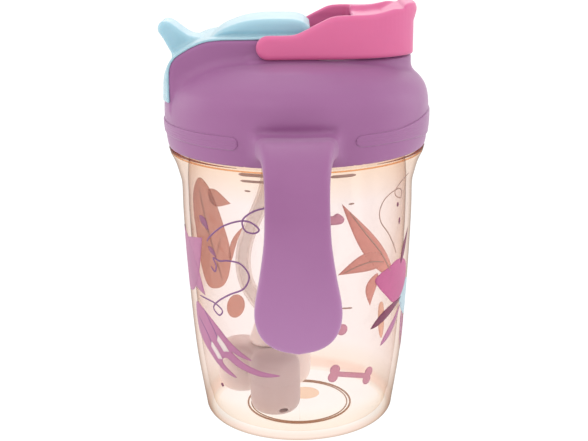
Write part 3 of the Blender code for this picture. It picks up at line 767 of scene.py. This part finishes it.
def make_prints():
    """A generic all-over print of leaves, petals, ribbons, dots and a bone."""
    printed("print_leaf_orchid", [
        blade((-92, 47), (-53, 66.5), 17.0, -1.5), blade((-92, 64), (-54, 47.0), 14.0, 1.0),
        closed([(-66, 42.5), (-56, 41.5), (-46, 38), (-38, 34), (-32, 31.5), (-24.8, 28.8), (-31, 29.2),
                (-37, 30.4), (-30, 27.6), (-20, 25.6), (-9.5, 24.6), (-20, 23.6), (-33, 25.4), (-41, 27.6),
                (-44, 25.5), (-35, 21.5), (-44, 22.6), (-55, 27), (-66, 33)]),
    ], "orchid")
    printed("print_patches", [
        [(-46, 34.8), (-41, 32.2), (-38.5, 30.2), (-42.5, 29.6), (-47, 32.6)],
        [(-52, 31.6), (-47, 29.2), (-44, 26.6), (-47.5, 26.2), (-53, 29.6)],
    ], "cream", 0.11)
    printed("print_leaf_terracotta", [
        closed([(-110, 73), (-116, 76.5), (-123.5, 73), (-129.5, 66), (-134.5, 57), (-138.4, 47),
                (-137, 39.5), (-132, 35), (-124, 35), (-117, 38), (-112.5, 46), (-110.5, 56), (-108.5, 66)]),
        blade((-124, 71), (-140.5, 63.8), 5.2, 1.2), blade((-138, 42.5), (-149, 55), 2.6, -1.6),
        dot(-139.3, 25.9, 4.3),
    ], "clay")
    lines_printed("print_veins", [
        ([(-131, 37), (-126, 48), (-121, 60), (-116, 73)], 0.5), ([(-127, 46), (-132, 52)], 0.4),
        ([(-123, 55), (-118, 60)], 0.4),
    ], "umber", 0.11)
    printed("print_seeds_violet", [
        blade((-54.5, 73.6), (-47.0, 69.6), 2.8, 0.3), blade((-48.5, 64.4), (-42.6, 61.4), 1.9, 0.2),
    ], "grape")
    lines_printed("print_ribbons_left", [
        ([(-49, 65.8), (-46.7, 67.7), (-38, 72), (-28.6, 74.6), (-22.4, 74.8), (-18, 72.8), (-20.5, 71.4),
          (-25, 72), (-26.2, 75.1), (-21.2, 78), (-14.4, 79.6), (-7, 80)], 0.55),
        ([(-47, 58), (-44.5, 56.6), (-43.2, 58.6), (-45, 61), (-40.6, 60.6), (-35.4, 61.3), (-28.5, 61.1),
          (-24.4, 58.6), (-24.1, 56), (-27.6, 52.7), (-35.5, 50.1), (-44.1, 46.5), (-47.6, 43.8),
          (-43.6, 42.0), (-41.2, 44.0), (-47.3, 45.8), (-59.9, 46)], 0.55),
        ([(-57, 42), (-50, 37), (-46, 33)], 0.4), ([(-64, 38), (-56, 34), (-52, 30.5)], 0.4),
    ], "violet")
    printed("print_cloud", [
        closed([(15.8, 76.8), (18.7, 77.5), (21.9, 75.8), (20.8, 74.2), (15.9, 74.0), (10.5, 74.2),
                (9.5, 76.2), (12.5, 78)]),
    ], "rose")
    printed("print_ribbon_terracotta", [
        blade((54.5, 52.8), (20.6, 80.4), 6.6, 1.2), blade((48, 59.5), (19.0, 57.8), 6.2, -1.8),
        blade((42, 56.0), (38.0, 45.6), 4.4, -1.4),
    ], "terracotta")
    lines_printed("print_ribs_right", [
        ([(52, 55.0), (44, 62.2), (34, 69.6), (25, 77.2)], 0.4),
        ([(46, 59.0), (38, 60.2), (30, 59.8), (22, 58.2)], 0.35),
    ], "umber", 0.11)
    printed("print_petal_magenta", [
        closed([(40.5, 53.6), (44, 55.4), (50, 56.4), (58, 57.8), (67, 56.5), (73, 52.5), (72, 47.5),
                (65, 44.0), (57, 43.4), (50, 46.8), (44, 50.4)]),
    ], "magenta", 0.10)
    printed("print_plum", [
        blade((62.5, 55.6), (71, 66.5), 2.7, 0.4), blade((39.0, 37.4), (66.5, 43.6), 3.2, 0.8),
    ], "plum", 0.14)
    printed("print_sky", [
        closed([(66, 45), (73, 48.5), (83, 46), (88, 40), (80, 35), (71, 37.5), (65, 42)]),
    ], "sky")
    printed("print_seed", [
        closed([(44.2, 44.6), (46.6, 45.6), (48.4, 43), (49.5, 37), (48.4, 33), (46.2, 34.4), (44.4, 39)]),
    ], "peach")
    printed("print_blades_right", [
        blade((47.3, 30.2), (67, 41.5), 3.0, -0.6), blade((70, 38), (73, 25), 2.4, 0.3),
        blade((76, 36), (80, 22), 2.6, 0.3),
    ], "orchid", 0.10)
    lines_printed("print_ribbon_right", [
        ([(64, 85.4), (58, 83.8), (54.4, 82), (53.3, 80.4), (55.6, 78.8), (59.6, 78), (60, 80), (56.5, 81.4),
          (51, 81), (46, 79.6), (43, 77.4), (42, 75), (43.4, 72), (49, 67.8), (54, 63.2), (56.6, 60.2)],
          0.38),
    ], "umber")
    printed("print_bone", [bone(29.0, 22.9, -0.26)], "rose")
    printed("print_marks", [dot(-22.5, 84.7, 0.3, 3.2), dot(25.6, 80.0, 0.3, 3.2)], "umber")
    printed("print_specks", [dot(-47, 16.9, 0.7), dot(56.5, 76.2, 0.75, 0.8), dot(58.5, 70.6, 1.1, 0.45)],
            "plum")
    printed("print_spot", [dot(22, 39.5, 1.9)], "rose")
    lines_printed("print_strokes", [([(21.5, 46.7), (24, 46.5), (27.3, 46.3)], 0.5)], "umber")


def make_base_marks():
    """The moulding gate, the ring under the base, and the bead, the painted shadow under the lid's rim and
    the stop ribs of the shoulder.
    """
    points, faces = turned([(0, 2.42), (4.6, 2.42), (5.0, 2.5), (4.6, 2.62), (0, 2.68)], 48, (2.0, 2.0))
    piece("gate_mark", points, faces, GATE, "cup", "peach_clear")
    bead = [(40.8 + a, 91.05 + b * 0.8) for a, b in arc((0, 0), 0.3, 0, 330, 11)]
    piece("shoulder_bead", *turned(bead, 192), AMBER, "cup", "peach_clear")
    # Painted shadow: two dark arcs in the gap under the lid's rim, thinning towards their ends.
    for number, (first, last) in enumerate(((-150, -26), (36, 150))):
        rings, steps = [], 60
        for step in range(steps + 1):
            turn = math.radians(first + (last - first) * step / steps)
            size = 0.48 * min(1.0, 0.15 + min(step, steps - step) / 24)
            rings.append([((40.85 + a) * math.sin(turn), -(40.85 + a) * math.cos(turn), 91.9 + b)
                          for a, b in arc((0, 0), size, 0, 315, 7)])
        piece(f"rim_painted_shadow_{number + 1}", *swept(rings), PAINTED_RIM_SHADOW, "cup", "peach_clear")
    for name, radius, thick in (("base_ring_inner", 16.5, 0.2), ("base_ring_outer", 17.6, 0.3)):
        profile = [(radius + a, 0.42 + b) for a, b in arc((0, 0), thick, 0, 330, 11)]
        piece(name, *turned(profile, 160), AMBER, "cup", "peach_clear")
    lines_printed("stop_ribs", [
        ([(-25, 90.2), (-19, 90.2), (-12, 90.2)], 1.1), ([(-25, 88.0), (-19, 88.0), (-12, 88.0)], 0.8),
        ([(14, 89.6), (19, 89.6), (25.5, 89.6)], 1.0),
    ], "umber", 0.04)


# ---- lid and handles ----

LID_OUTSIDE = [
    (41.3, 92.4), (41.7, 94.2), (42.1, 97.5), (42.35, 101.0), (42.35, 104.5), (42.1, 108.0), (41.2, 111.2),
    (39.3, 113.8), (36.8, 115.8), (33.0, 118.0), (30.0, 119.2), (24.0, 120.2), (16.0, 120.8), (0, 121.1),
]
LID_CURVE = spline(LID_OUTSIDE, 5)
COLLAR_CURVE = [(r, z) for r, z in LID_CURVE if z < 112.0]
SPINE_REAR = spline([(-41.5, 107.6), (-41.1, 112.9), (-40.4, 116.2), (-39.1, 119.0), (-37.5, 121.4),
                     (-35.8, 122.9), (-31.8, 125.2), (-27.4, 126.8), (-22.5, 127.3)], 4)
SPINE_FOOT = 104.0
SPINE_HALF = 17.5
SPINE_REACH = 42.6
HANDLE_PATH = [(36.0, 98.7, 12.8), (40.0, 98.7, 12.6), (46.8, 99.1, 11.4), (53.0, 98.9, 10.4),
               (58.3, 96.1, 9.5), (61.2, 91.5, 9.1), (62.0, 85.0, 9.1), (62.0, 76.0, 9.5), (61.6, 66.0, 10.9),
               (60.9, 57.5, 12.4), (60.2, 52.5, 12.3), (59.5, 48.5, 11.0), (58.9, 45.6, 8.6),
               (58.5, 43.7, 5.2), (58.25, 42.6, 0.0)]
HANDLE_HALF = 3.3
HANDLE_ROUND = 2.7


def spine_field(front):
    """The raised back of the lid, from its rear outline to front, which the spout base's band lies on."""
    side = Flat(SPINE_REAR + [(front, SPINE_TOP), (front, SPINE_FOOT), (-41.6, SPINE_FOOT)])

    def field(x, y, z):
        return high_of(high_of(side(x, z), np.abs(y) - SPINE_HALF, 1.3), np.hypot(x, y) - SPINE_REACH, 1.2)

    return field


def cover_plan(inset):
    """The cover from above: straight sides at the back and a round nose, drawn in by the inset."""
    half = COVER_HALF - inset
    nose = 38.6 - inset
    turns = [math.radians(90 * step / 24) for step in range(25)]
    side = [(8.0 + (nose - 8.0) * math.sin(turn) ** 0.9, half * math.cos(turn) ** 0.9) for turn in turns]
    side[-1] = (nose, 0.0)
    return [(-14.0, half)] + side + [(x, -y) for x, y in reversed(side[:-1])] + [(-14.0, -half)]


def handle_field():
    """The front and back handles: a bar of one thickness along HANDLE_PATH, as wide as the path says."""
    path = spline(HANDLE_PATH, 6)
    line = [(y, z) for y, z, _ in path]
    dy, dz = line[-1][0] - line[-2][0], line[-1][1] - line[-2][1]
    size = math.hypot(dy, dz)
    beyond = 8.0 / size
    strip = Strip(line + [(line[-1][0] + beyond * dy, line[-1][1] + beyond * dz)], pitch=0.25)
    reach, rims = 0.0, []
    for index, (y, z, half) in enumerate(path):
        if index:
            reach += math.hypot(y - path[index - 1][0], z - path[index - 1][1])
        rims.append((max(half, 0.0), reach))
    width = Flat(rims + [(-half, length) for half, length in reversed(rims)], margin=14.0)

    def field(x, y, z):
        out = np.abs(y)
        return high_of(strip(out, z) - HANDLE_HALF, width(x, strip.along(out, z)), HANDLE_ROUND)

    return field


def make_lid():
    """The lid's shell with the spine, the cover's seat and both handles, one surface cut into three nodes."""
    dome = turned_field([(0, 80.0), (40.3, 80.0), (40.8, 89.0)] + LID_CURVE[:-1] + [(0, 121.1)])
    hollow = turned_field([(0, 80.0), (40.2, 80.0), (40.2, 106.5), (39.5, 109.3), (37.0, 112.5),
                           (32.0, 116.0), (24.0, 117.9), (0, 118.4)])
    spine = spine_field(4.8)
    pedestal_plan = Flat(cover_plan(2.0))
    deck_plan = Flat(cover_plan(3.2))
    handle = handle_field()

    def field(x, y, z):
        r = np.hypot(x, y)
        body = high_of(dome(r, z), LID_FOOT - z, 0.8)
        body = low_of(body, spine(x, y, z), 0.4 + 2.8 * np.clip((z - 109.5) / 5.0, 0, 1))
        body = low_of(body, high_of(pedestal_plan(x, y), np.abs(z - 115.0) - 5.8, 0.8), 2.0)
        deck = high_of(high_of(deck_plan(x, y), np.abs(z - 115.0) - 7.3, 0.6), x - 33.4, 0.6)
        body = low_of(body, deck, 0.8)
        # A shallow crease runs across the collar where each handle leaves it.
        band = np.clip((13.0 - np.abs(x)) / 2.5, 0, 1)
        crease = np.exp(-(((z - 103.1) / 1.5) ** 2)) * (np.abs(y) > 30)
        body = body + band**2 * (3 - 2 * band) * crease
        body = low_of(body, handle(x, y, z), 3.2)
        body = high_of(body, -hollow(r, z), 0.6)
        stem = high_of(np.hypot(x - STEM_X, y) - 6.3, 108.0 - z, 0.3)
        notch = high_of(high_of(np.abs(x - 3.0) - 3.0, np.abs(y) - 5.3, 0.3), 123.9 - z, 0.3)
        return high_of(high_of(body, -stem, 0.3), -notch, 0.3)

    points, faces = surface(field, (-44.4, -66.6, 41.4), (44.4, 66.6, 128.4), 0.7)
    split = 47.5
    for name, side, nodes in (("lid_skin", 0, ("lid_shell",)), ("handle_front_skin", -1, ("handle_front",)),
                              ("handle_back_skin", 1, ("handle_back",))):
        made = piece(name, points, faces, LILAC, "lid", "lilac", nodes, sharp=0)
        work = bmesh.new()
        work.from_mesh(made.data)
        planes = [(-1, -split), (1, split)] if side == 0 else [(-side, side * split)]
        for out, at in planes:
            every = work.verts[:] + work.edges[:] + work.faces[:]
            bmesh.ops.bisect_plane(
                work, geom=every, plane_co=(0, at * MM, 0), plane_no=(0, out, 0), clear_outer=True
            )
            rim = [edge for edge in work.edges
                   if edge.is_boundary and abs(edge.verts[0].co.y - at * MM) < 1e-6]
            for face in bmesh.ops.edgeloop_fill(work, edges=rim)["faces"]:
                face.smooth = False
                for edge in face.edges:
                    edge.smooth = False
        work.to_mesh(made.data)
        work.free()


# Grips as (degrees from the handle beside it, height, half width), up to the cup's side.
GRIP_LEFT = [(24.2, 99.6, 1.7), (30, 99.5, 1.9), (50, 99.5, 1.9), (70, 99.5, 1.9)]
GRIP_RIGHT = [(24.2, 99.9, 1.4), (30, 99.9, 1.7), (45, 99.9, 1.8), (60, 100.1, 2.6), (75, 100.1, 3.6)]
GRIPS = [
    ("grip_left", -1, False, GRIP_LEFT + [(88, 99.5, 1.9), (93, 99.5, 1.7)]),
    ("grip_right", 1, False, GRIP_RIGHT + [(93, 100.1, 3.8)]),
    ("grip_left_back", -1, True, GRIP_LEFT + [(83, 99.5, 1.9), (87, 99.5, 1.7)]),
    ("grip_right_back", 1, True, GRIP_RIGHT + [(87, 100.1, 3.8)]),
]
GRIP_ROWS = 25
GRIP_END = 1.9
COLLAR_ARC = 0.745  # millimetres of collar to a degree


def make_grips():
    """Slightly raised, ribbed grip pads round the collar."""
    for name, side, back, line in GRIPS:
        points, faces = [], []
        for angle, z, half in spline(line, 26):
            away = (angle - line[0][0]) * COLLAR_ARC
            share = away / GRIP_END
            ending = min(1.0, math.sqrt(max(share * (2 - share), 0.0))) if share < 1 else 1.0
            for row in range(GRIP_ROWS):
                v = -1 + 2 * row / (GRIP_ROWS - 1)
                height = z + v * half * max(ending, 0.02)
                edge = min(1.0, (1 - abs(v)) * half / 0.35, away / 0.35 + 0.02)
                rib = 0.035 * math.cos(2 * math.pi * v * half / 0.8)
                lift = -0.12 + 0.30 * (edge * (2 - edge)) + (rib if abs(v) < 0.8 else 0)
                r = radius_at(COLLAR_CURVE, height) + lift
                turn = side * math.radians(180 - angle if back else angle)
                points.append((r * math.sin(turn), -r * math.cos(turn), height))
        for corner in range(0, len(points) - GRIP_ROWS, GRIP_ROWS):
            for a in range(corner, corner + GRIP_ROWS - 1):
                faces.append((a, a + 1, a + GRIP_ROWS + 1, a + GRIP_ROWS))
        solid(piece(name, points, faces, LILAC, "lid", "lilac", sharp=0), 0.4)


# ---- cover, spout base and spout ----


def make_cover():
    """The flip cover: its side outline crossed with its plan, hollow below, open behind, dished on top."""
    side = arc((COVER_HINGE_X, COVER_HINGE_Z), 3.7, 270, 90, 24)
    side += spline([(-4.5, 128.7), (-0.5, 128.9), (2.8, 130.2), (7.5, 132.6), (12.4, 134.4), (22.8, 134.6),
                    (27.4, 135.3), (32.7, 136.8), (35.4, 137.3), (37.4, 136.9), (38.4, 135.1), (37.7, 133.2),
                    (36.9, 131.6)], 4)
    side += [(36.8, 121.9), (36.2, 121.3)]
    profile = Flat(side)
    plan, inner = Flat(cover_plan(0.0)), Flat(cover_plan(2.6))
    dish = Flat([(14.6, 134.9), (17.5, 133.0), (22.0, 132.8), (27.5, 133.4), (33.0, 136.1), (34.0, 145.0),
                 (14.0, 145.0)])

    def field(x, y, z):
        wide = np.abs(y)
        block = high_of(profile(x, z), plan(x, y), 1.7)
        hollow = high_of(high_of(inner(x, y), z - 131.3, 1.5), x - 34.2, 0.8)
        window = high_of(x - 17.8, wide - 18.2, 1.6)
        body = high_of(block, -hollow, 0.7)
        body = high_of(body, -window, 1.0)
        return high_of(body, -high_of(dish(x, z), wide - 13.6, 2.4), 1.2)

    points, faces = surface(field, (-13.4, -21.8, 120.4), (39.6, 21.8, 138.4), 0.45)
    piece("flip_cover_skin", points, faces, PINK, "cover", "pink", ("flip_cover",), sharp=0)


def make_spout_base():
    """The soft spout base: a thin band over the lid's spine, a pad, a finger tab, and the spout's socket."""
    spine = spine_field(5.0)
    top = spline([(-25.6, 127.9), (-24.0, 129.2), (-22.0, 130.3), (-18.0, 131.8), (-14.0, 132.7),
                  (-8.0, 133.1), (-0.6, 132.9), (2.6, 132.0)], 4)
    pad = Flat(top + [(4.4, 130.4), (4.4, 127.8)], pitch=0.15)
    hook = spline([(-38.6, 121.2), (-40.1, 123.8), (-41.5, 126.4), (-43.1, 129.0), (-42.8, 131.0),
                   (-41.4, 132.0), (-39.7, 131.8), (-38.1, 130.9), (-36.4, 129.6), (-33.4, 127.6),
                   (-30.0, 126.9)], 4)
    tab = Flat(hook + [(-31.0, 125.0), (-35.0, 122.6)], pitch=0.15)

    def field(x, y, z):
        wide = np.abs(y)
        under = spine(x, y, z)
        body = high_of(high_of(under - 0.62, 0.04 - under, 0.05), wide - 17.25, 0.3)
        body = high_of(high_of(body, x - 4.4, 0.2), 108.2 - z, 0.3)
        body = low_of(body, high_of(pad(x, z), wide - 13.0, 2.2), 1.0)
        body = low_of(body, high_of(tab(x, z), wide - 7.0, 2.0), 1.6)
        nose = high_of(high_of(np.abs(x - 2.35) - 2.05, wide - 5.0, 0.6), np.abs(z - 126.6) - 2.4, 0.4)
        body = low_of(body, nose, 0.3)
        stem = high_of(np.hypot(x - STEM_X, y) - 5.9, np.abs(z - 120.0) - 8.5, 0.4)
        body = low_of(body, stem, 0.3)
        mouth = high_of(np.hypot(y, z - MOUTH_Z) - 1.6, 1.4 - x, 0.2)
        socket = high_of(np.hypot(x - STEM_X, y) - 3.9, z - 118.0, 0.3)
        return high_of(high_of(body, -mouth, 0.3), -socket, 0.3)

    points, faces = surface(field, (-44.6, -18.0, 107.0), (6.0, 18.0, 134.2), 0.36)
    piece("spout_base_skin", points, faces, TEAL, "lid", "teal", ("spout_base",), sharp=0)


def make_spout():
    """The drinking spout, lying forwards under the cover: a round root in its seat and a rolled lip."""
    ball = 3.3
    start = math.asin(1.7 / ball)
    root = [(ball * math.sin(t), MOUTH_X - ball * math.cos(t)) for t in np.linspace(start, math.pi / 2, 10)]
    tip = spline([(3.3, 25.0), (3.45, 28.5), (3.3, 30.2), (2.9, 31.2), (2.3, 31.5)], 5)
    points, faces = turned(root + tip + [(1.9, 31.4), (1.7, 31.0)], 48, (0, MOUTH_Z), "X")
    piece("spout_tube", points, faces, TEAL, "spout", "teal", ("drinking_spout",), sharp=50)


# ---- straw and weight ----


STRAW_FOOT = 31.6
LOBE_REACH = 9.2


def make_straw():
    """The bent straw from its stem down to the weight, and the weight's collar."""
    path = [(STEM_X, STRAW_TOP), (-12.7, 101.0), (-10.3, 94.0), (-9.0, 85.0), (-10.2, 76.5), (-12.7, 70.0),
            (-15.6, 63.5), (-17.6, 57.5), (-18.3, 51.0), (-17.2, 44.5), (-14.4, 39.2), (-11.7, 35.4),
            (WEIGHT_X, 31.2), (WEIGHT_X, 25.7)]
    line = []
    for x, z in spline(path, 6):
        down = min(1, max(0, (STRAW_TOP - z) / (STRAW_TOP - STRAW_FOOT)))
        line.append((x, WEIGHT_Y * down, z))
    piece("straw_skin", *tube(line, 2.55, 1.75, 32), STRAW, "straw", "milky", ("straw_tube",), sharp=50)
    side = spline([(5.6, 23.9), (6.0, 24.9), (5.6, 26.6), (5.1, 28.0), (4.6, 29.6), (4.2, 30.9), (3.9, 31.2)],
                  4)
    profile = [(1.9, 23.9)] + side + [(3.1, 31.3), (3.0, 31.0), (3.0, 25.1), (1.9, 25.1)]
    points, faces = turned(profile, 48, (WEIGHT_X, WEIGHT_Y))
    piece("weight_collar_skin", points, faces, MILK, "straw", "milky", ("weight_collar",), sharp=50)


def make_weight():
    """The weight: three lobes about a core, the front one longer, with a seam, an inlet and a channel."""
    turns = [math.radians(angle) for angle in (45, 165)]
    lobes = [(WEIGHT_X + LOBE_REACH * math.cos(t), WEIGHT_Y + LOBE_REACH * math.sin(t)) for t in turns]

    def field(x, y, z):
        core = np.hypot(x - WEIGHT_X, y - WEIGHT_Y)
        body = core - 6.4
        for lobe_x, lobe_y in lobes:
            body = low_of(body, np.hypot(x - lobe_x, y - lobe_y) - 8.1, 3.0)
        body = high_of(body, 5.9 - z, 6.5)
        front = high_of(np.hypot(x + 7.9, y + 12.1) - 8.3, 3.3 - z, 4.6)
        body = high_of(low_of(body, front, 3.0), z - 23.5, 5.0)
        seam = 0.22 * np.exp(-((z - 14.5) / 0.28) ** 2)
        inlet = np.hypot(x + 5.2, (z - 5.7) * 1.5) - 1.5
        hole = high_of(inlet, y + 16.4, 0.3)
        channel = high_of(core - 1.6, 20.0 - z, 0.3)
        return high_of(high_of(body + seam, -hole, 0.4), -channel, 0.3)

    points, faces = surface(field, (-29.6, -21.6, 2.4), (6.6, 14.0, 24.4), 0.55)
    nodes = ("weight_shell_lower", "weight_shell_upper")
    piece("weight_skin", points, faces, FROST, "straw", "frosted", nodes, sharp=0)


def finish_hidden():
    """Better materials for the CAD nodes that stay, inside the lid and the weight."""
    for finish, names in (
        (LILAC, ("lid_liner",)), (MILK, ("lid_gasket", "cover_seal_pad", "vent_valve")),
        (FROST, ("straw_connector",)),
        (STEEL, ("hinge_pin_front", "hinge_pin_back", "weight_slug_1", "weight_slug_2", "weight_slug_3")),
    ):
        for name in names:
            for slot in frame["nodes"][name].material_slots:
                slot.material = finish


set_stage()
make_cup()
make_base_marks()
make_prints()
make_lid()
make_grips()
make_cover()
make_spout_base()
make_spout()
make_straw()
make_weight()
finish_hidden()
